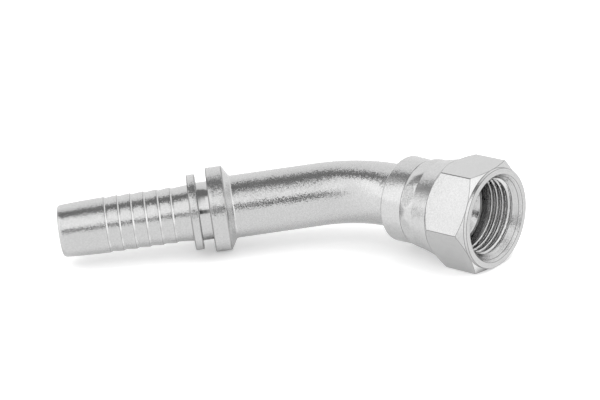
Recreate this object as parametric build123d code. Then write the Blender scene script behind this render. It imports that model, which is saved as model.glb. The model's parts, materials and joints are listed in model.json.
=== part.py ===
from build123d import *
import math
import os

# Angled crimp hose fitting, in millimetres. The hose stem is one turned and bent piece.
# The nut turns on the stem's flared head, and its rear skirt is crimped behind that head.
# The part lies as it rests: the nut on one flat, the stem on the edge of its large collar.

# Passage and tube of the stem. The tube is swaged down to the tail, so its bore narrows there.
tail_bore_d = 10.0
tube_bore_d = 11.0
bore_step_at = 40.0  # from the tail's end
bore_step_length = 1.0
tube_d = 15.4
bend_angle = 45.0
bend_radius = 26.4
tube_leg = 63.8  # straight run from the tail's end to the start of the bend
seat_leg = 19.05  # straight run from the end of the bend to the seat's rim

# Barbed tail that the hose is pushed over
nose_d = 12.9
nose_chamfer = 0.5
crest_d = 13.7
root_d = 13.2
first_crest = 11.65  # from the tail's end
crest_pitch = 3.24
crest_count = 6
crest_land = 0.7
crest_fall = 0.45  # length of the step behind each crest

# Two collars that hold the ferrule, and the groove between them
land_d = 13.9
groove_d = 14.3
small_collar_d = 18.6
small_collar_start = 32.25
small_collar_width = 2.1
large_collar_d = 20.8
large_collar_start = 37.05
large_collar_width = 4.0
collar_chamfer = 0.3
collar_back_length = 1.6  # cone from the large collar down to the tube

# Head with the concave flare seat
head_d = 17.1
head_length = 8.0
head_back_angle = 45.0
seat_angle = 37.0  # from the axis
seat_rim_d = 15.2

# Nut, measured from its mouth
hex_af = 24.0
nut_length = 26.5
seat_depth = 10.2  # from the mouth to the seat's rim
lip_d = 23.9
lip_length = 0.8
hex_front_angle = 30.0  # from the face
hex_back_angle = 45.0
hex_end = 12.0  # where the rear chamfer meets the flats
neck_d = 23.5
neck_end = 13.4
cone_d = 21.9
cone_end = 16.9
bulge_d = 21.8
bulge_at = 19.1
crease_d = 20.5
crease_at = 20.7
skirt_d = 20.9
skirt_chamfer = 0.4
mouth_d = 21.1
mouth_cone_angle = 36.0  # from the axis
thread_minor_d = 17.5
thread_end = 8.1
relief_d = 19.4
relief_end = 11.4
relief_angle = 60.0

# Flats left by the crimping jaws between the hex and the skirt
jaw_count = 8
jaw_front_at = 14.3
jaw_front_r = 11.52
jaw_back_r = 10.15
jaw_turn = 12.0  # angle of the first flat about the nut's axis

# Clearances between the nut and the stem
turn_clearance = 0.1
head_clearance = 0.3


def sin(degrees):
    return math.sin(math.radians(degrees))


def cos(degrees):
    return math.cos(math.radians(degrees))


def tan(degrees):
    return math.tan(math.radians(degrees))


tangent = bend_radius * tan(bend_angle / 2)
mouth_x = tangent + seat_leg + seat_depth
tail_reach = tangent + tube_leg
hex_corner_r = hex_af / 2 / cos(30)


# The two legs' axes cross at the origin. The nut's axis is +X and the bend lies in XY.
leg_dir = Vector(cos(bend_angle), sin(bend_angle), 0)
tail_end = leg_dir * -tail_reach
bend_start = leg_dir * -tangent
tail_plane = Plane(origin=tail_end, x_dir=leg_dir, z_dir=(0, 0, 1))
mouth_plane = Plane(origin=(mouth_x, 0, 0), x_dir=(-1, 0, 0), z_dir=(0, 0, 1))


def turned(plane, lines):
    """Solid of revolution about the plane's x axis, from a closed outline of lines."""
    outline = plane * make_face(Wire(lines))
    return revolve(outline, Axis(plane.origin, plane.x_dir), 360)


def chain(points):
    """Straight edges through the points."""
    return [Line(a, b) for a, b in zip(points[:-1], points[1:])]


def barb_points():
    """Crest land, step down and ramp up, once for each crest."""
    points = []
    for index in range(crest_count):
        crest = first_crest + index * crest_pitch
        points.append((crest - crest_land, crest_d / 2))
        points.append((crest, crest_d / 2))
        points.append((crest + crest_fall, root_d / 2))
    return points


def collar_points(start, width, diameter, front_d, back_d):
    """Ring with both outer corners broken, from its front foot to its back foot."""
    end = start + width
    radius = diameter / 2
    return [
        (start, front_d / 2), (start, radius - collar_chamfer), (start + collar_chamfer, radius),
        (end - collar_chamfer, radius), (end, radius - collar_chamfer), (end, back_d / 2),
    ]


def tube_leg_solid():
    """Tail, collars and straight tube, up to the start of the bend."""
    nose_r = nose_d / 2
    small_collar = collar_points(small_collar_start, small_collar_width, small_collar_d, land_d, groove_d)
    large_collar = collar_points(large_collar_start, large_collar_width, large_collar_d, groove_d, tube_d)
    cone_foot = large_collar_start + large_collar_width + collar_back_length
    passage = [
        (tube_leg, tube_bore_d / 2), (bore_step_at + bore_step_length, tube_bore_d / 2),
        (bore_step_at, tail_bore_d / 2), (0, tail_bore_d / 2), (0, nose_r - nose_chamfer),
    ]
    # The large collar's back foot is left out, because a cone leads from its corner to the tube
    points = [(nose_chamfer, nose_r)] + barb_points() + small_collar + large_collar[:-1]
    points += [(cone_foot, tube_d / 2), (tube_leg, tube_d / 2)] + passage + points[:1]
    return turned(tail_plane, chain(points))


def bend_solid():
    """Torus segment of the tube between the two straight runs."""
    section = Plane(origin=bend_start, z_dir=leg_dir) * (Circle(tube_d / 2) - Circle(tube_bore_d / 2))
    pivot = Vector(tangent, -bend_radius, 0)
    return revolve(section, Axis(pivot, (0, 0, -1)), bend_angle)


def head_solid():
    """Straight tube, shoulder, head and concave seat, from the bend's end to the rim."""
    rim = seat_depth
    bend_end = seat_depth + seat_leg
    head_end = rim + head_length
    shoulder_end = head_end + (head_d - tube_d) / 2 / tan(head_back_angle)
    seat_foot = rim + (seat_rim_d - tube_bore_d) / 2 / tan(seat_angle)
    points = [
        (rim, seat_rim_d / 2), (rim, head_d / 2), (head_end, head_d / 2),
        (shoulder_end, tube_d / 2), (bend_end, tube_d / 2), (bend_end, tube_bore_d / 2),
        (seat_foot, tube_bore_d / 2), (rim, seat_rim_d / 2),
    ]
    return turned(mouth_plane, chain(points))


def stem():
    """The whole stem as one solid."""
    return tube_leg_solid() + bend_solid() + head_solid()


def nut_inside():
    """Mouth cone, thread at its minor diameter, relief, head bore, shoulder and neck bore."""
    minor_r = thread_minor_d / 2
    relief_r = relief_d / 2
    head_r = head_d / 2 + head_clearance
    neck_r = tube_d / 2 + turn_clearance
    cone_foot = (mouth_d / 2 - minor_r) / tan(mouth_cone_angle)
    relief_rise = (relief_r - minor_r) / tan(relief_angle)
    relief_fall = (relief_r - head_r) / tan(relief_angle)
    shoulder_gap = head_clearance / sin(head_back_angle) - (head_r - head_d / 2) / tan(head_back_angle)
    shoulder_start = seat_depth + head_length + shoulder_gap
    shoulder_end = shoulder_start + (head_r - neck_r) / tan(head_back_angle)
    return [
        (0, mouth_d / 2), (cone_foot, minor_r), (thread_end, minor_r),
        (thread_end + relief_rise, relief_r), (relief_end, relief_r),
        (relief_end + relief_fall, head_r), (shoulder_start, head_r), (shoulder_end, neck_r),
        (nut_length, neck_r),
    ]


def nut_outside():
    """Skirt, crease, bulge, crimped cone, neck, the cones over the hex corners and lip, rear to front."""
    envelope_r = hex_corner_r + 0.05
    lip_r = lip_d / 2
    flat_r = hex_af / 2
    front_end = lip_length + (envelope_r - lip_r) * tan(hex_front_angle)
    back_start = hex_end - (envelope_r - flat_r) * tan(hex_back_angle)
    skirt_r = skirt_d / 2
    return [
        (nut_length, tube_d / 2 + turn_clearance), (nut_length, skirt_r - skirt_chamfer),
        (nut_length - skirt_chamfer, skirt_r), (crease_at, crease_d / 2),
        (bulge_at, bulge_d / 2), (cone_end, cone_d / 2), (neck_end, neck_d / 2),
        (hex_end, flat_r), (back_start, envelope_r), (front_end, envelope_r),
        (lip_length, lip_r), (0, lip_r), (0, mouth_d / 2),
    ]


def jaw_cutter(index):
    """Block whose inner face is one jaw flat, sloped along the crimped cone."""
    run = crease_at - jaw_front_at
    slope = math.degrees(math.atan2(jaw_front_r - jaw_back_r, run))
    block = Box(run, hex_af, hex_af / 2, align=(Align.MIN, Align.CENTER, Align.MIN))
    block = Pos(-crease_at, 0, jaw_back_r) * Rot(0, -slope, 0) * block
    turn = jaw_turn + index * 360 / jaw_count
    return Pos(mouth_x, 0, 0) * Rot(turn, 0, 0) * block


def nut():
    """Hexagon cut by the turned outline, with the jaw flats pressed into its rear cone."""
    blank = turned(mouth_plane, chain(nut_inside() + nut_outside()[1:]))
    hexagon = RegularPolygon(hex_corner_r, 6, rotation=0)
    bar_plane = Plane(origin=(mouth_x, 0, 0), x_dir=(0, 1, 0), z_dir=(-1, 0, 0))
    bar = bar_plane * extrude(hexagon, nut_length)
    # Turned back by the tilt, so that one flat faces straight down once the part is laid
    bar = Rot(-tilt, 0, 0) * bar
    body = blank & bar
    for index in range(jaw_count):
        body = body - jaw_cutter(index)
    return body


def rest_tilt():
    """Roll of the bend's plane about the nut's axis that lays the collar and a flat level.

    Where the tail leg falls by the angle a, the collar's edge is arm sin(a) + radius cos(a) below
    the nut's axis. That depth equals the distance from the axis to the flat.
    """
    arm = tail_reach - large_collar_start - collar_chamfer
    radius = large_collar_d / 2
    fall = math.asin(hex_af / 2 / math.hypot(arm, radius)) - math.atan2(radius, arm)
    return math.degrees(math.asin(math.sin(fall) / sin(bend_angle)))


tilt = rest_tilt()
parts = {"hose_stem": stem(), "swivel_nut": nut()}
laid = {name: Rot(tilt, 0, 0) * solid for name, solid in parts.items()}
boxes = [solid.bounding_box() for solid in laid.values()]
low = [min(getattr(box.min, axis) for box in boxes) for axis in "XYZ"]
high = [max(getattr(box.max, axis) for box in boxes) for axis in "XYZ"]
origin = Vector((low[0] + high[0]) / 2, (low[1] + high[1]) / 2, low[2])
laid = {name: Pos(*(origin * -1)) * solid for name, solid in laid.items()}

os.makedirs("parts", exist_ok=True)
for name, solid in laid.items():
    export_step(solid, f"parts/{name}.step")

mouth = Vector(mouth_x, 0, 0) - origin
tail = tail_end.rotate(Axis.X, tilt) - origin
print("tilt", round(tilt, 4), "nut mouth", mouth, "tail end", tail)
for name, solid in laid.items():
    print(name, solid.bounding_box(), round(solid.volume, 1), len(solid.solids()))
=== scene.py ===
"""Looks of an angled crimp hose fitting: bright zinc plate on a turned stem and a crimped hexagon nut."""
import json
import math

import bpy
import numpy as np
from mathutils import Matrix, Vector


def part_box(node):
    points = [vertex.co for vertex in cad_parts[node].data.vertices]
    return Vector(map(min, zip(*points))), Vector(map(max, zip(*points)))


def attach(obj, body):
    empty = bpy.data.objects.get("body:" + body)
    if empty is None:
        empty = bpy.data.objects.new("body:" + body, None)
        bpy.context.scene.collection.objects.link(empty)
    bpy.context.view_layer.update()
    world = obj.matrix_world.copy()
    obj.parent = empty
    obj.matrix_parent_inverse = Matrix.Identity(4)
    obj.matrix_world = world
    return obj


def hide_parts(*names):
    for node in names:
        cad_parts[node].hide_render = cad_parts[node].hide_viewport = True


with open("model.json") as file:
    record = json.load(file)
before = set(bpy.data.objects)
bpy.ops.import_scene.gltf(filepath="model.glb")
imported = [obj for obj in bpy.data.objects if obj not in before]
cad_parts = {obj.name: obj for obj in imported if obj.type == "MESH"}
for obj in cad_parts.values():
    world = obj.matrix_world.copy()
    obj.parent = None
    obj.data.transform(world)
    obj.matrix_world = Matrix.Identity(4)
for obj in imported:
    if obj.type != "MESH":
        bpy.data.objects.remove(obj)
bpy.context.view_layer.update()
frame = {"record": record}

MM = 0.001

# Stem, in millimetres
TAIL_BORE_R = 5.0
TUBE_BORE_R = 5.5
BORE_STEP_AT, BORE_STEP_LENGTH = 40.0, 1.0
TUBE_R = 7.7
BEND_R = 26.4
BEND = math.radians(45)
TUBE_LEG = 63.8
SEAT_LEG = 19.05
NOSE_R = 6.45
NOSE_ROUND = 0.85
NOSE_BOW_AT, NOSE_BOW = 5.5, 0.05
CREST_R = 6.85
ROOT_R = 6.6
FIRST_CREST = 11.65
CREST_PITCH = 3.24
CREST_COUNT = 6
CREST_LAND = 0.7
CREST_FALL = 0.45
LAND_R = 6.95
GROOVE_R = 7.15
SMALL_START, SMALL_WIDTH, SMALL_R = 32.25, 2.1, 9.3
LARGE_START, LARGE_WIDTH, LARGE_R = 37.05, 4.0, 10.4
COLLAR_BACK = 1.6
HEAD_R = 8.55
HEAD_LENGTH = 8.0
HEAD_BACK = math.radians(45)
SEAT_RIM_R = 7.6
SEAT_ANGLE = math.radians(37)

# Nut, in millimetres from its mouth
HEX_FLAT = 12.0
SIXTH = math.radians(60)  # one side of the hexagon
NUT_LENGTH = 26.5
SEAT_DEPTH = 10.2
LIP_R = 11.95
LIP_LENGTH = 0.8
HEX_FRONT = math.radians(30)
HEX_END = 12.0
NECK_R, NECK_END = 11.75, 13.4
CONE_R, CONE_END = 10.95, 16.9
BULGE_R, BULGE_AT = 10.9, 19.1
CREASE_R, CREASE_AT = 10.25, 20.7
SKIRT_R = 10.45
MINOR_R = 8.75
MAJOR_R = 9.525
PITCH = 1.5875
THREAD_END = 8.1
CREST_HALF, GROOVE_HALF = 0.142, 0.0766  # half widths of the thread's flats, in pitches
MOUTH_R = 10.55
MOUTH_CONE = math.radians(36)  # from the axis
MOUTH_CONE_END = 1.5
TOOL_LINE = (0.6, 0.54, 0.48)  # rows of a fine line in the mouth cone, as shares of its length
RELIEF_R, RELIEF_END = 9.7, 11.4
RELIEF_SLOPE = math.radians(60)
NECK_BORE_R = 7.8
HEAD_BORE_R = 8.85
HEAD_GAP = 0.3
JAW_COUNT = 8
JAW_FRONT_AT, JAW_FRONT_R = 14.3, 11.52
JAW_BACK_R = 10.15
JAW_TURN = math.radians(12)

# How far the rounding of each corner reaches along its edges, in millimetres
SOFT_CUT = 0.4  # nose, barb lands and feet, foot of the collar's cone
NOSE_BOW_CUT = 3.0
CREST_CUT = 0.08
COLLAR_CUT = 0.35
COLLAR_FOOT_CUT = 0.15
STEM_BORE_CUT = 0.2
HEAD_CUT = 0.3
HEAD_FACE_CUT = 0.25
SEAT_RIM_CUT = 0.1
MOUTH_CUT = 0.08
LIP_CUT = 0.12
LIP_FOOT_CUT = 0.1
HEX_CUT = 0.09
HEX_END_CUT = 0.12
CREASE_CUT = 0.15
SKIRT_CUT = 0.5
REAR_BORE_CUT = 0.12
SHOULDER_CUT = 0.15
RELIEF_FOOT_CUT = 0.12
RELIEF_END_CUT = 0.2
LARGEST_SHARE = 0.45  # share of an edge that one corner's rounding may take
ARC_STEPS = 5  # rows in a rounded corner

# Roundings between surfaces that meet at a changing angle, in millimetres
HEX_BLEND = 0.02  # of a cosine instead
JAW_BLEND = 0.12
LEAD_BLEND = 0.06

# Mesh spacing, in millimetres
STEM_COLUMNS = 248
STEM_STEP = 0.9  # longest row spacing along the stem
NUT_COLUMNS = 360
CROWDING = 0.85  # how closely the nut's columns gather at the hexagon's corners
CRIMP_STEP = 0.15
CRIMP_END = CREASE_AT - 0.05
THREAD_ROWS = 22  # in one pitch

# Marks on the surfaces. Shine above 0 is smoother than the common finish, below 0 rougher.
GROOVE_SHINE, SEAT_SHINE, COLLAR_SHINE, TUBE_SHINE, MOUTH_SHINE = 1.0, 0.4, -0.5, -0.35, -0.7
TURNED_FADE = 0.6  # half length over which turned steel passes into drawn tube
COLLAR_ABOVE = 0.6  # a collar is what stands this far above the tube
NUT_TURNED_FROM = 9.0  # the relief behind the thread is turned from this depth
WIDEST_EDGE = 0.4  # corners cut by less than this carry a thin painted shade line along the edge
# Strength of the painted shade along the stem's narrow edges, and of the painted shade in the nut's relief
STEM_EDGE_SHADE, RELIEF_SHADE = 0.7, 0.3
CORNER_SHADE_HALF_WIDTH = 0.16  # half width of the painted shade line along a hexagon corner
HAIR, CLOSE, NEAR = 0.01, 0.05, 0.1  # slacks of the tests that pick out a face

# Zinc plate. A noise is (scale per metre, detail, roughness). A ramp is (low, high, value at low,
# value at high), or only (low, high) where it runs from 0 to 1.
SPECKLE = (3000.0, 1.0, 0.5)
GRAIN = (4200.0, 2.0, 0.6)
COARSE = (800.0, 3.0, 0.6)
CLOUD = (110.0, 3.0, 0.5)
RINGS = (5200.0, 2.0, 0.6)
RING_STRETCH = (1.5, 1.0, 1.0)
CRYSTALS = 3500.0  # per metre
CELL_MIDDLE = (0.5, 0.5, 0.5)  # mean of the cells' colours, which run from 0 to 1
NOISE_RANGE = (0.3, 0.7)  # where most of a noise lies
SPECKLE_SHADE = 0.5  # the speckle's share of the shade, with the rest from the coarse noise
SHADE_RAMP = (0.2, 0.8, 0.94, 1.04)
# darkening by the edge mark: painted shade, and the mouth's tool line
TOOL_LINE_AND_SHADE_RAMP = (0.0, 1.0, 1.0, 0.3)
CLOUD_ROUGHNESS = 0.06
SHINE_ROUGHNESS = 0.05
GRAIN_PART, COARSE_PART = 0.5, 0.9  # their heights where the speckle's is 1
GRAIN_HEIGHT = 0.000008  # metres
RING_HEIGHT, RING_STRENGTH = 0.00002, 0.5  # metres, and a share of the full effect
STEM_GREY, STEM_ROUGHNESS, STEM_LEAN = 0.675, 0.14, 0.085
NUT_GREY, NUT_ROUGHNESS, NUT_LEAN = 0.685, 0.19, 0.07

# Floor, in metres
FLOOR_HALF = 4.0
FLOOR_GREY = 0.8
SKY_DISTANCE, SKY_SAMPLES = 0.05, 8  # how far and with how many rays the floor looks for cover
# glow over the ambient occlusion: it dims near the fitting as a painted shadow
GLOW_AND_SHADOW_RAMP = (0.34, 0.7, 0.36, 0.74)
CLEAR_RAMP = (0.05, 0.65)

# Light tent. A way is a direction, and the ramps run over the cosine from a way or over the height.
LEG_WAY = (0.707, 0.705, 0.05)  # along the leg, from tail to bend
STRIP_WAY = (0.25, -0.97, 0.0)  # across the strip, towards the camera's side
STRIP_SHIFT = (-0.1, 0.03, -0.01, 0.2)
STRIP_CORE = (-0.24, -0.18, 0.0, 0.61)
STRIP_HALO = (-0.6, -0.2, 0.0, 0.18)
STRIP_FADE_START = 0.2
STRIP_FADE_END = (-0.06, 0.0, 0.32, 0.8)
STRIP_FADE_TUBE = (0.0, 0.05, 0.0, 0.16)
STRIP_FADE_BACK = (0.65, 0.85, 0.0, 0.4)
BACK_WAY = (-1.0, 0.0, 0.0)
STRIP_HEIGHT = (0.15, 0.45)
STRIP_REACH = (0.25, 0.55, 1.0, 0.0)
BAR_WAY = (0.78, -0.62, 0.0)
BAR_SPREAD = (0.74, 0.8)
BAR_BOTTOM = (0.14, 0.19)
BAR_TOP_START = 0.39
BAR_TOP_END = (0.0, 0.04, 0.44, 0.58)
BAR_DEPTH = (-0.06, 0.01, 0.66, 0.97)
BAR_REACH = (0.2, 0.4, 1.0, 0.0)
TENT_LEVEL = 0.93
TENT_PATCHES = [  # way, ramp over the cosine from that way
    ((-0.72, -0.62, 0.32), (0.2, 0.9, 0.0, 0.11)),
    ((0.5, -0.5, 0.7), (0.8, 0.98, 0.0, 0.2)),
    ((0.93, 0.1, 0.3), (0.7, 0.97, 0.0, 0.42)),
    ((0.48, 0.41, -0.77), (0.88, 0.98, 0.0, 0.3)),
    ((-0.55, -0.05, -0.84), (0.8, 0.98, 0.0, -0.15)),
]

# Soft box, in metres and watts
LAMP_AT, LAMP_AIM = (-0.7, -0.65, 0.6), (0.0, 0.0, 0.01)
LAMP_SIZE, LAMP_POWER = 1.0, 0.7

# Camera that repeats the photograph's view. Its place is counted from the centre of the nut's mouth.
CAMERA_FROM_MOUTH = np.array([263.463, -357.985, 181.133])
CAMERA_TURN = (68.6360, 4.5290, 40.4350)
CAMERA_LENS = 123.0
CAMERA_SENSOR = 36.0
CAMERA_NEAR, CAMERA_FAR = 0.01, 20.0


def mount(name):
    """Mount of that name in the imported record."""
    return next(m for m in frame["record"]["mounts"] if m["name"] == name)


def places():
    """Mouth centre in millimetres, and the bend plane's roll about the nut's axis."""
    thread = np.array(mount("swivel_thread")["pos_m"]) / MM
    mouth_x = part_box("swivel_nut")[1][0] / MM
    inward = -np.array(mount("hose_tail")["axis"])
    return np.array([mouth_x, thread[1], thread[2]]), math.atan2(inward[2], inward[1])


MOUTH, TILT = places()


def soften(points, cuts):
    """Outline with each corner replaced by a quadratic curve.

    The curve runs from a point cut back along the edge before the corner to one the same
    length along the edge after it: (1-t)^2 A + 2t(1-t) corner + t^2 B. Axis 0 runs along the
    outline, the last axis holds the coordinates, and any axes between are done alike.
    """
    out = []
    count = len(points)
    tiny = 1e-9
    for index, (corner, cut) in enumerate(zip(points, cuts)):
        if cut <= 0:
            out.append(corner[None])
            continue
        before = points[index - 1] - corner
        after = points[(index + 1) % count] - corner
        before_length = np.linalg.norm(before, axis=-1, keepdims=True) + tiny
        after_length = np.linalg.norm(after, axis=-1, keepdims=True) + tiny
        a = corner + before / before_length * np.minimum(cut, before_length * LARGEST_SHARE)
        b = corner + after / after_length * np.minimum(cut, after_length * LARGEST_SHARE)
        t = np.linspace(0, 1, ARC_STEPS).reshape((-1,) + (1,) * corner.ndim)
        out.append((1 - t) ** 2 * a + 2 * t * (1 - t) * corner + t ** 2 * b)
    return np.concatenate(out)


def edge_shade_weights(cuts):
    """Painted edge shade of each row that soften gives: sin(pi t) over a narrow corner's curve, 0
    elsewhere.
    """
    arc = np.sin(np.linspace(0, math.pi, ARC_STEPS))
    weights = []
    for cut in cuts:
        if cut <= 0:
            weights.append(0.0)
        else:
            weights += list(arc if cut < WIDEST_EDGE else 0 * arc)
    return np.array(weights)


def divide(points, step):
    """Closed outline with every edge longer than step divided evenly."""
    ends = np.roll(points, -1, axis=0)
    rows = []
    for start, end in zip(points, ends):
        longest = np.linalg.norm(end - start, axis=-1).max()
        count = max(1, int(np.ceil(longest / step)))
        share = (np.arange(count) / count).reshape((-1,) + (1,) * start.ndim)
        rows.append(start + (end - start) * share)
    return np.concatenate(rows)


def smooth_least(a, b, width):
    """The lesser of two surfaces, with their meeting edge rounded over about width."""
    gap = np.clip(0.5 + 0.5 * (b - a) / width, 0, 1)
    return b * (1 - gap) + a * gap - width * gap * (1 - gap)


def smooth_step(x, low, high):
    """0 below low and 1 above high, with 3t^2 - 2t^3 between."""
    t = np.clip((x - low) / (high - low), 0, 1)
    return t * t * (3 - 2 * t)


def grid_mesh(name, points, uv, marks):
    """Closed torus of quads from a grid of points: rows go round the outline, columns round the axis."""
    rows, columns = points.shape[:2]
    row = np.arange(rows)[:, None]
    column = np.arange(columns)[None, :]
    nearby = (row + 1) % rows
    beside = (column + 1) % columns
    quads = np.stack([row * columns + column, row * columns + beside,
                      nearby * columns + beside, nearby * columns + column], axis=-1).reshape(-1, 4)
    mesh = bpy.data.meshes.new(name)
    mesh.vertices.add(rows * columns)
    mesh.vertices.foreach_set("co", (points * MM).astype(np.float32).ravel())
    mesh.loops.add(quads.size)
    mesh.loops.foreach_set("vertex_index", quads.ravel().astype(np.int32))
    mesh.polygons.add(len(quads))
    mesh.polygons.foreach_set("loop_start", np.arange(0, quads.size, 4, dtype=np.int32))
    mesh.polygons.foreach_set("use_smooth", np.ones(len(quads), dtype=bool))
    layer = mesh.uv_layers.new(name="turned")
    layer.data.foreach_set("uv", uv.reshape(-1, 2)[quads.ravel()].astype(np.float32).ravel())
    for mark, values in marks.items():
        attribute = mesh.attributes.new(mark, "FLOAT", "POINT")
        attribute.data.foreach_set("value", values.astype(np.float32).ravel())
    mesh.update(calc_edges=True)
    mesh.validate()
    piece = bpy.data.objects.new(name, mesh)
    bpy.context.scene.collection.objects.link(piece)
    return piece


def axis_uv(angle, along):
    """UV map whose u is the turn about the axis in full circles and v the length along it in metres."""
    return np.stack([angle / (2 * math.pi), along * MM], axis=-1)


def stem_length():
    """Length of the stem's centreline: leg, arc and leg."""
    return TUBE_LEG + BEND_R * BEND + SEAT_LEG


def stem_outline():
    """Outline of the stem as (length along its centreline, radius, painted edge shade): outside, then
    passage.
    """
    total = stem_length()
    head_end = total - HEAD_LENGTH
    shoulder = head_end - (HEAD_R - TUBE_R) / math.tan(HEAD_BACK)
    seat_foot = total - (SEAT_RIM_R - TUBE_BORE_R) / math.tan(SEAT_ANGLE)
    large_end = LARGE_START + LARGE_WIDTH
    small_end = SMALL_START + SMALL_WIDTH
    corner = NOSE_ROUND * (1 - math.sqrt(0.5))
    bow_r = (NOSE_R + CREST_R) / 2 + NOSE_BOW
    corners = [
        (0, TAIL_BORE_R, STEM_BORE_CUT), (0, NOSE_R - NOSE_ROUND, SOFT_CUT),
        (corner, NOSE_R - corner, SOFT_CUT), (NOSE_ROUND, NOSE_R, SOFT_CUT),
        (NOSE_BOW_AT, bow_r, NOSE_BOW_CUT),
    ]
    for index in range(CREST_COUNT):
        crest = FIRST_CREST + index * CREST_PITCH
        corners += [(crest - CREST_LAND, CREST_R, SOFT_CUT), (crest, CREST_R, CREST_CUT),
                    (crest + CREST_FALL, ROOT_R, SOFT_CUT)]
    corners += [
        (SMALL_START, LAND_R, COLLAR_FOOT_CUT), (SMALL_START, SMALL_R, COLLAR_CUT),
        (small_end, SMALL_R, COLLAR_CUT), (small_end, GROOVE_R, COLLAR_FOOT_CUT),
        (LARGE_START, GROOVE_R, COLLAR_FOOT_CUT), (LARGE_START, LARGE_R, COLLAR_CUT),
        (large_end, LARGE_R, COLLAR_CUT), (large_end + COLLAR_BACK, TUBE_R, SOFT_CUT),
        (shoulder, TUBE_R, HEAD_CUT), (head_end, HEAD_R, HEAD_CUT),
        (total, HEAD_R, HEAD_FACE_CUT), (total, SEAT_RIM_R, SEAT_RIM_CUT),
        (seat_foot, TUBE_BORE_R, HEAD_CUT),
        (BORE_STEP_AT + BORE_STEP_LENGTH, TUBE_BORE_R, STEM_BORE_CUT),
        (BORE_STEP_AT, TAIL_BORE_R, STEM_BORE_CUT),
    ]
    corners = np.array(corners)
    points, cuts = corners[:, :2], corners[:, 2]
    return divide(np.column_stack([soften(points, cuts), edge_shade_weights(cuts)]), STEM_STEP)


def stem_points(along, radius, angle):
    """The outline carried along leg, arc and leg.

    Each point is the centreline's place at that length plus the radius times
    (cos angle * in-plane normal + sin angle * bend-plane normal). The bend plane is then
    rolled about the nut's axis by TILT.
    """
    turn = BEND - np.clip((along - TUBE_LEG) / BEND_R, 0, BEND)
    tangent = BEND_R * math.tan(BEND / 2)
    before = np.minimum(along - TUBE_LEG, 0)
    after = np.maximum(along - TUBE_LEG - BEND_R * BEND, 0)
    across = radius * np.cos(angle)
    x = tangent - BEND_R * np.sin(turn) + before * math.cos(BEND) + after - across * np.sin(turn)
    y = -BEND_R + BEND_R * np.cos(turn) + before * math.sin(BEND) + across * np.cos(turn)
    z = radius * np.sin(angle)
    crossing_x = MOUTH[0] - tangent - SEAT_LEG - SEAT_DEPTH
    return np.stack([x + crossing_x,
                     y * math.cos(TILT) - z * math.sin(TILT) + MOUTH[1],
                     y * math.sin(TILT) + z * math.cos(TILT) + MOUTH[2]], axis=-1)


def stem_skin():
    """The stem's whole surface, with marks for turned faces, shine and painted shade along narrow edges.

    The turned mark is 1 from the tail to the large collar's cone and 0 on the drawn tube.
    """
    outline = stem_outline()
    angle = np.arange(STEM_COLUMNS)[None, :] * 2 * math.pi / STEM_COLUMNS
    along, radius, edge, angle = np.broadcast_arrays(outline[:, :1], outline[:, 1:2], outline[:, 2:], angle)
    cone_foot = LARGE_START + LARGE_WIDTH + COLLAR_BACK
    turned = 1 - smooth_step(along, cone_foot - TURNED_FADE, cone_foot + TURNED_FADE)
    groove = (along > SMALL_START + SMALL_WIDTH) & (along < LARGE_START) & (radius < GROOVE_R + NEAR)
    seat = (along > stem_length() - HEAD_LENGTH) & (radius < SEAT_RIM_R + CLOSE)
    collar = (radius > TUBE_R + COLLAR_ABOVE) & (along > SMALL_START) & (along < cone_foot)
    polished = groove * GROOVE_SHINE + seat * SEAT_SHINE + collar * COLLAR_SHINE
    polished = polished + (1 - turned) * TUBE_SHINE * ~seat
    # The edge mark is painted shade along the stem's narrow rounded edges
    return grid_mesh("turned_stem", stem_points(along, radius, angle), axis_uv(angle, along),
                     {"turned": turned, "polished": polished, "edge": STEM_EDGE_SHADE * edge})


def hex_radius(angle):
    """Distance from the axis to the hexagon: the flat's distance over the greatest cosine.

    The greatest of the six cosines is taken softly, which breaks the corners a little.
    """
    normals = SIXTH / 2 + np.arange(6) * SIXTH
    cosines = np.sort(np.cos(angle[..., None] - normals), axis=-1)
    return HEX_FLAT / -smooth_least(-cosines[..., -1], -cosines[..., -2], HEX_BLEND)


def hexagon_ends(hexagon):
    """Depths at which the front cone and the rear cone reach the hexagon's radius."""
    return LIP_LENGTH + (hexagon - LIP_R) * math.tan(HEX_FRONT), HEX_END - (hexagon - HEX_FLAT)


def nut_angles():
    """Angles of the nut's columns, crowded together at the hexagon's corners.

    Within each sixth, a share v of the way becomes v - crowding * sin(2 pi v) / (2 pi).
    """
    share = np.arange(NUT_COLUMNS) / NUT_COLUMNS * 6
    within = share - np.floor(share)
    moved = within - CROWDING * np.sin(2 * math.pi * within) / (2 * math.pi)
    return (np.floor(share) + moved) * SIXTH


def jaw_radius(angle, depth):
    """Distance from the axis to the jaw flats, which slope inwards to the crease.

    It is the flat's level at that depth over the cosine of the angle from its middle.
    """
    share = (depth - JAW_FRONT_AT) / (CREASE_AT - JAW_FRONT_AT)
    level = JAW_FRONT_R + (JAW_BACK_R - JAW_FRONT_R) * share
    first = math.pi / 2 + JAW_TURN + TILT
    step = 2 * math.pi / JAW_COUNT
    offset = (angle - first + step / 2) % step - step / 2
    return level / np.cos(offset)


def crimp_outline(depth):
    """Turned radius between neck and crease: a straight cone, then a parabola that bulges to the crease."""
    straight = NECK_R + (CONE_R - NECK_R) * (depth - NECK_END) / (CONE_END - NECK_END)
    across = (depth - CONE_END) / (CREASE_AT - CONE_END)
    middle = (BULGE_AT - CONE_END) / (CREASE_AT - CONE_END)
    rise = BULGE_R - (CONE_R + (CREASE_R - CONE_R) * middle)
    bulge = CONE_R + (CREASE_R - CONE_R) * across + rise * across * (1 - across) / (middle * (1 - middle))
    return np.where(depth < CONE_END, straight, bulge)


def full_rows(corners, one):
    """A row of points round the axis for each (depth, radius, cut), and the list of cuts."""
    rows = [np.stack([depth * one, radius * one], axis=-1) for depth, radius, _ in corners]
    return rows, [cut for _, _, cut in corners]


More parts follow.
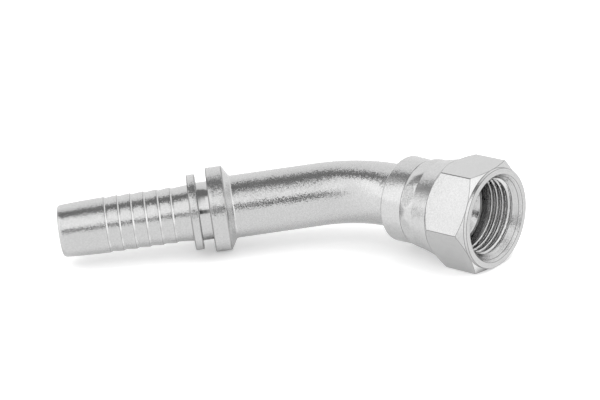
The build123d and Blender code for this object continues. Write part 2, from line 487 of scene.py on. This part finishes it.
def nut_outside(angle):
    """Rows from the mouth's edge back over lip, hexagon, neck, crimp and skirt, as (depth, radius)."""
    one = np.ones_like(angle)
    hexagon = hex_radius(angle)
    front, back = hexagon_ends(hexagon)
    head, head_cuts = full_rows([
        (0, MOUTH_R, MOUTH_CUT), (0, LIP_R, LIP_CUT), (LIP_LENGTH, LIP_R, LIP_FOOT_CUT),
        (front, hexagon, HEX_CUT), (back, hexagon, HEX_CUT), (HEX_END, HEX_FLAT, HEX_END_CUT),
    ], one)
    depths = np.arange(NECK_END, CRIMP_END, CRIMP_STEP)[:, None] * one
    crimp = smooth_least(crimp_outline(depths), jaw_radius(angle, depths), JAW_BLEND)
    rear, rear_cuts = full_rows([
        (CREASE_AT, CREASE_R, CREASE_CUT), (NUT_LENGTH, SKIRT_R, SKIRT_CUT),
        (NUT_LENGTH, NECK_BORE_R, REAR_BORE_CUT),
    ], one)
    rows = head + list(np.stack([depths, crimp], axis=-1)) + rear
    return rows, head_cuts + [0] * len(depths) + rear_cuts


def thread_groove(depth, angle):
    """Height of the groove above the crest, 0 to 1, for a right-hand thread.

    The phase is depth over pitch plus the share of a turn. Crest and root are flat, and the
    flanks between them are straight.
    """
    phase = (depth / PITCH + angle / (2 * math.pi)) % 1
    off = np.abs(phase - 0.5)
    return 1 - np.clip((off - GROOVE_HALF) / (0.5 - CREST_HALF - GROOVE_HALF), 0, 1)


def nut_inside(angle):
    """Rows from the rear bore forward through shoulder, head bore, relief, thread and mouth cone.

    The thread is the lesser of mouth cone and grooved bore seen from the steel, so it runs out
    of the cone. The last rows lie on the cone alone and mark its tool line.
    """
    one = np.ones_like(angle)
    gap = HEAD_GAP / math.sin(HEAD_BACK) - (HEAD_BORE_R - HEAD_R) / math.tan(HEAD_BACK)
    shoulder = SEAT_DEPTH + HEAD_LENGTH + gap
    relief_rise = (RELIEF_R - MINOR_R) / math.tan(RELIEF_SLOPE)
    relief_fall = (RELIEF_R - HEAD_BORE_R) / math.tan(RELIEF_SLOPE)
    cone_slope = math.tan(MOUTH_CONE)
    groove_start = (MOUTH_R - MAJOR_R) / cone_slope
    plain, plain_cuts = full_rows([
        (shoulder + HEAD_BORE_R - NECK_BORE_R, NECK_BORE_R, SHOULDER_CUT),
        (shoulder, HEAD_BORE_R, SHOULDER_CUT),
        (RELIEF_END + relief_fall, HEAD_BORE_R, RELIEF_FOOT_CUT),
        (RELIEF_END, RELIEF_R, RELIEF_END_CUT),
        (THREAD_END + relief_rise, RELIEF_R, RELIEF_FOOT_CUT),
    ], one)
    row_count = int((THREAD_END - groove_start) / PITCH * THREAD_ROWS)
    depths = np.linspace(THREAD_END, groove_start, row_count)[:, None] * one
    lead = MOUTH_R - depths * cone_slope
    groove = MINOR_R + (MAJOR_R - MINOR_R) * thread_groove(depths, angle)
    threaded = -smooth_least(-lead, -groove, LEAD_BLEND)
    line = np.array(TOOL_LINE)[:, None] * groove_start * one
    rows = plain + list(np.stack([depths, threaded], axis=-1))
    rows += list(np.stack([line, MOUTH_R - line * cone_slope], axis=-1))
    return rows, plain_cuts + [0] * (row_count + len(TOOL_LINE))


def nut_skin():
    """The nut's whole surface, with marks for turned faces, shine, the tool line and painted shade."""
    angle = nut_angles()
    outside, outside_cuts = nut_outside(angle)
    inside, inside_cuts = nut_inside(angle)
    cuts = outside_cuts + inside_cuts
    rows = soften(np.array(outside + inside), cuts)
    depth, radius = rows[..., 0], rows[..., 1]
    angle = np.broadcast_to(angle, depth.shape)
    points = np.stack([MOUTH[0] - depth, MOUTH[1] + radius * np.cos(angle),
                       MOUTH[2] + radius * np.sin(angle)], axis=-1)
    # The edge mark darkens the colour: painted shade along narrow edges, hexagon corners and in the relief,
    # and the tool line
    edge = edge_shade_weights(cuts)[:, None] + 0 * depth
    edge[-2] = 1.0  # the middle row of the tool line is the last but one
    hexagon = hex_radius(angle)
    front, back = hexagon_ends(hexagon)
    flat = (radius > HEX_FLAT - 2 * HAIR) & (depth > front - HAIR) & (depth < back + HAIR)
    # Painted shade along the hexagon's corners, on its flats
    off_corner = (angle + SIXTH / 2) % SIXTH - SIXTH / 2
    corner = 1 - np.clip(np.abs(off_corner) * radius / CORNER_SHADE_HALF_WIDTH, 0, 1)
    # Painted shade in the recess of the relief behind the thread
    relief = (depth > THREAD_END + NEAR) & (radius > HEAD_BORE_R + CLOSE) & (radius < RELIEF_R + NEAR)
    edge = np.maximum(np.maximum(edge, corner * flat), RELIEF_SHADE * relief)
    mouth_cone = (depth > 2 * HAIR) & (depth < MOUTH_CONE_END) & (radius < MOUTH_R)
    mouth_face = smooth_step(radius, MOUTH_R - CLOSE, MOUTH_R + CLOSE) * (depth < NEAR)
    turned_relief = (depth > NUT_TURNED_FROM) & (radius > HEAD_BORE_R) & (radius < RELIEF_R + NEAR)
    turned = np.maximum(mouth_face, turned_relief)
    # Rows run mouth to rear outside and back inside, so they are reversed to face outwards
    return grid_mesh("crimped_nut", points[::-1], axis_uv(angle, depth)[::-1],
                     {"turned": turned[::-1], "polished": MOUTH_SHINE * mouth_cone[::-1],
                      "edge": edge[::-1]})


class Nodes:
    """Short way to place and join shader nodes in one tree."""

    def __init__(self, tree):
        self.tree = tree
        tree.nodes.clear()

    def add(self, kind, inputs=None, **settings):
        """Node of that kind. Each input is a value, or a socket to link."""
        node = self.tree.nodes.new("ShaderNode" + kind)
        for name, value in settings.items():
            setattr(node, name, value)
        for name, value in (inputs or {}).items():
            if isinstance(value, bpy.types.NodeSocket):
                self.tree.links.new(value, node.inputs[name])
            else:
                node.inputs[name].default_value = value
        return node

    def math(self, operation, *values):
        """The values joined by one operation, from left to right."""
        result = values[0]
        for value in values[1:]:
            result = self.add("Math", {0: result, 1: value}, operation=operation).outputs[0]
        return result

    def ramp(self, value, low, high, start=0.0, end=1.0, smooth=True):
        """The value carried from low..high to start..end and held there outside."""
        kind = "SMOOTHSTEP" if smooth else "LINEAR"
        node = self.add("MapRange", {"Value": value, "From Min": low, "From Max": high,
                                     "To Min": start, "To Max": end}, interpolation_type=kind)
        return node.outputs["Result"]

    def noise(self, vector, scale, detail, roughness):
        """Cloudy noise between 0 and 1."""
        node = self.add("TexNoise", {"Vector": vector, "Scale": scale, "Detail": detail,
                                     "Roughness": roughness})
        return node.outputs["Fac"]

    def mark(self, name):
        """Value of a mark that the surface carries."""
        return self.add("Attribute", attribute_name=name).outputs["Fac"]

    def finish(self, kind, socket):
        """Output node of that kind, fed by the socket."""
        self.tree.links.new(socket, self.add(kind).inputs["Surface"])


def plate(name, grey, smoothness, crystal_lean):
    """Bright zinc plate: metal with grain, leaning crystals, cloudy gloss, tool rings and painted edge
    shade.

    Shine marks make it smoother with less grain or rougher with more, turned marks give it rings,
    and edge marks darken it: painted shade along edges, hexagon corners and the relief, and the tool line.
    """
    material = bpy.data.materials.new(name)
    material.use_nodes = True
    n = Nodes(material.node_tree)
    place = n.add("TexCoord").outputs["Object"]
    ring_map = n.add("UVMap", uv_map="turned").outputs["UV"]
    polished = n.mark("polished")
    unpolished = n.math("SUBTRACT", 1.0, polished)
    # Grain of the plated surface, in three sizes
    speckle = n.ramp(n.noise(place, *SPECKLE), *NOISE_RANGE)
    grain = n.noise(place, *GRAIN)
    coarse = n.noise(place, *COARSE)
    shade = n.math("ADD", n.math("MULTIPLY", speckle, SPECKLE_SHADE),
                   n.math("MULTIPLY", coarse, 1 - SPECKLE_SHADE))
    # Darker where the edge mark lies: painted shade along edges, corners and in the relief, and the tool
    # line
    shade = n.math("MULTIPLY", n.ramp(shade, *SHADE_RAMP, smooth=False),
                   n.ramp(n.mark("edge"), *TOOL_LINE_AND_SHADE_RAMP, smooth=False))
    tinted = n.add("VectorMath", {0: (grey, grey, grey), "Scale": shade}, operation="SCALE").outputs[0]
    cloud = n.noise(place, *CLOUD)
    rough = n.ramp(cloud, *NOISE_RANGE, smoothness, smoothness + CLOUD_ROUGHNESS)
    rough = n.math("SUBTRACT", rough, n.math("MULTIPLY", polished, SHINE_ROUGHNESS))
    height = n.math("ADD", speckle, n.math("MULTIPLY", grain, GRAIN_PART),
                    n.math("MULTIPLY", coarse, COARSE_PART))
    # Crystals of the plating: cells that each lean their own way
    cells = n.add("TexVoronoi", {"Vector": place, "Scale": CRYSTALS}).outputs["Color"]
    lean = n.add("VectorMath", {0: cells, 1: CELL_MIDDLE}, operation="SUBTRACT").outputs[0]
    lean = n.add("VectorMath", {0: lean, "Scale": n.math("MULTIPLY", unpolished, crystal_lean)},
                 operation="SCALE").outputs[0]
    facing = n.add("VectorMath", {0: n.add("NewGeometry").outputs["Normal"], 1: lean}).outputs[0]
    facing = n.add("VectorMath", {0: facing}, operation="NORMALIZE").outputs[0]
    grain_bump = n.add("Bump", {"Height": n.math("MULTIPLY", height, unpolished), "Strength": 1.0,
                                "Distance": GRAIN_HEIGHT, "Normal": facing})
    # Tool rings: noise stretched round the turned faces
    stretched = n.add("Mapping", {"Vector": ring_map, "Scale": RING_STRETCH}).outputs[0]
    rings = n.math("MULTIPLY", n.noise(stretched, *RINGS), n.mark("turned"), unpolished)
    ring_bump = n.add("Bump", {"Height": rings, "Strength": RING_STRENGTH, "Distance": RING_HEIGHT,
                               "Normal": grain_bump.outputs[0]})
    shader = n.add("BsdfPrincipled", {"Base Color": tinted, "Metallic": 1.0, "Roughness": rough,
                                      "Normal": ring_bump.outputs[0]})
    n.finish("OutputMaterial", shader.outputs[0])
    return material


def floor_material():
    """Plain pale floor, white to the camera away from the fitting, with a lit and a painted soft shadow.

    Reflected rays pass through it where the sky over it is open, so the metal shows the lower
    half of the tent there, and meet it in the shadow close to the fitting.
    """
    material = bpy.data.materials.new("pale_floor")
    material.use_nodes = True
    n = Nodes(material.node_tree)
    path = n.add("LightPath").outputs
    seen = n.math("MAXIMUM", path["Is Camera Ray"], path["Is Transmission Ray"])
    open_sky = n.add("AmbientOcclusion", {"Distance": SKY_DISTANCE}, samples=SKY_SAMPLES).outputs["AO"]
    matte = n.add("BsdfDiffuse", {"Color": (FLOOR_GREY, FLOOR_GREY, FLOOR_GREY, 1)})
    # Glow that dims with ambient occlusion near the fitting: painted shadow added to the lit one
    strength = n.math("MULTIPLY", seen, n.ramp(open_sky, *GLOW_AND_SHADOW_RAMP))
    glow = n.add("Emission", {"Color": (1, 1, 1, 1), "Strength": strength})
    lit = n.add("AddShader", {0: matte.outputs[0], 1: glow.outputs[0]})
    clear = n.math("MULTIPLY", path["Is Glossy Ray"], n.ramp(open_sky, *CLEAR_RAMP))
    both = n.add("MixShader", {0: clear, 1: lit.outputs[0], 2: n.add("BsdfTransparent").outputs[0]})
    n.finish("OutputMaterial", both.outputs[0])
    return material


def make_floor():
    """Square floor at height 0."""
    half = FLOOR_HALF
    mesh = bpy.data.meshes.new("floor")
    mesh.from_pydata([(-half, -half, 0), (half, -half, 0), (half, half, 0), (-half, half, 0)], [],
                     [(0, 1, 2, 3)])
    floor = bpy.data.objects.new("floor", mesh)
    bpy.context.scene.collection.objects.link(floor)
    mesh.materials.append(floor_material())


class Tent(Nodes):
    """Shader nodes of the light tent, in which light depends on the direction alone."""

    def __init__(self, tree):
        super().__init__(tree)
        self.way = self.add("TexCoord").outputs["Generated"]
        self.height = self.add("SeparateXYZ", {0: self.way}).outputs["Z"]
        self.leg_way = self.along(LEG_WAY)

    def along(self, direction):
        """Cosine of the angle between the looked-up way and the direction."""
        length = math.sqrt(sum(v * v for v in direction))
        unit = tuple(v / length for v in direction)
        return self.add("VectorMath", {0: self.way, 1: unit}, operation="DOT_PRODUCT").outputs["Value"]

    def strip(self):
        """Darkness of the strip overhead: core plus halo, times three fades.

        It begins sharply on the far side and fades out softly on the camera's side, towards the
        horizon and along the leg.
        """
        shift = self.ramp(self.leg_way, *STRIP_SHIFT, smooth=False)
        off_strip = self.math("ADD", self.along(STRIP_WAY), shift)
        fade_end = self.math("ADD", self.ramp(self.leg_way, *STRIP_FADE_END),
                             self.ramp(self.along(BACK_WAY), *STRIP_FADE_BACK),
                             self.ramp(self.leg_way, *STRIP_FADE_TUBE))
        dark = self.math("ADD", self.ramp(off_strip, *STRIP_CORE), self.ramp(off_strip, *STRIP_HALO))
        return self.math("MULTIPLY", dark, self.ramp(off_strip, STRIP_FADE_START, fade_end, 1.0, 0.0),
                         self.ramp(self.height, *STRIP_HEIGHT), self.ramp(self.leg_way, *STRIP_REACH))

    def bar(self):
        """Darkness of the low bar on the camera's side, which draws the second line along the leg.

        It is a band between two heights, times its spread about one way and two fades along the leg.
        """
        top = self.ramp(self.leg_way, *BAR_TOP_END)
        return self.math("MULTIPLY", self.ramp(self.height, *BAR_BOTTOM),
                         self.ramp(self.height, BAR_TOP_START, top, 1.0, 0.0),
                         self.ramp(self.along(BAR_WAY), *BAR_SPREAD),
                         self.ramp(self.leg_way, *BAR_DEPTH), self.ramp(self.leg_way, *BAR_REACH))


def make_world():
    """Light tent: its level plus all patches, times what strip and bar leave of it.

    The camera and rays through glass see plain white.
    """
    world = bpy.data.worlds.new("light_tent")
    bpy.context.scene.world = world
    world.use_nodes = True
    n = Tent(world.node_tree)
    patches = [n.ramp(n.along(way), *ramp) for way, ramp in TENT_PATCHES]
    level = n.math("MULTIPLY", n.math("ADD", TENT_LEVEL, *patches),
                   n.math("SUBTRACT", 1.0, n.strip()), n.math("SUBTRACT", 1.0, n.bar()))
    path = n.add("LightPath").outputs
    shown = n.math("MAXIMUM", path["Is Camera Ray"], path["Is Transmission Ray"])
    strength = n.add("Mix", {"Factor": shown, "A": level, "B": 1.0}, data_type="FLOAT").outputs[0]
    back = n.add("Background", {"Color": (1, 1, 1, 1), "Strength": strength})
    n.finish("OutputWorld", back.outputs[0])


def make_lamp():
    """Square soft box that faces the middle of the fitting."""
    lamp = bpy.data.lights.new("soft_box", "AREA")
    lamp.shape = "SQUARE"
    lamp.size = LAMP_SIZE
    lamp.energy = LAMP_POWER
    box = bpy.data.objects.new("soft_box", lamp)
    bpy.context.scene.collection.objects.link(box)
    box.location = LAMP_AT
    away = np.array(LAMP_AT) - np.array(LAMP_AIM)
    away = away / np.linalg.norm(away)
    box.rotation_euler = (math.acos(away[2]), 0, math.atan2(away[0], -away[1]))


def make_camera():
    """Camera at the photograph's angle."""
    camera = bpy.data.cameras.new("camera")
    camera.lens = CAMERA_LENS
    camera.sensor_width = CAMERA_SENSOR
    camera.clip_start, camera.clip_end = CAMERA_NEAR, CAMERA_FAR
    holder = bpy.data.objects.new("camera", camera)
    bpy.context.scene.collection.objects.link(holder)
    holder.location = (MOUTH + CAMERA_FROM_MOUTH) * MM
    holder.rotation_euler = [math.radians(angle) for angle in CAMERA_TURN]
    bpy.context.scene.camera = holder


stem = stem_skin()
stem.data.materials.append(plate("stem_plate", STEM_GREY, STEM_ROUGHNESS, STEM_LEAN))
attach(stem, "stem")
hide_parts("hose_stem")

nut = nut_skin()
nut.data.materials.append(plate("nut_plate", NUT_GREY, NUT_ROUGHNESS, NUT_LEAN))
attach(nut, "nut")
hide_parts("swivel_nut")

make_floor()
make_world()
make_lamp()
make_camera()
bpy.context.scene.view_settings.view_transform = "Standard"
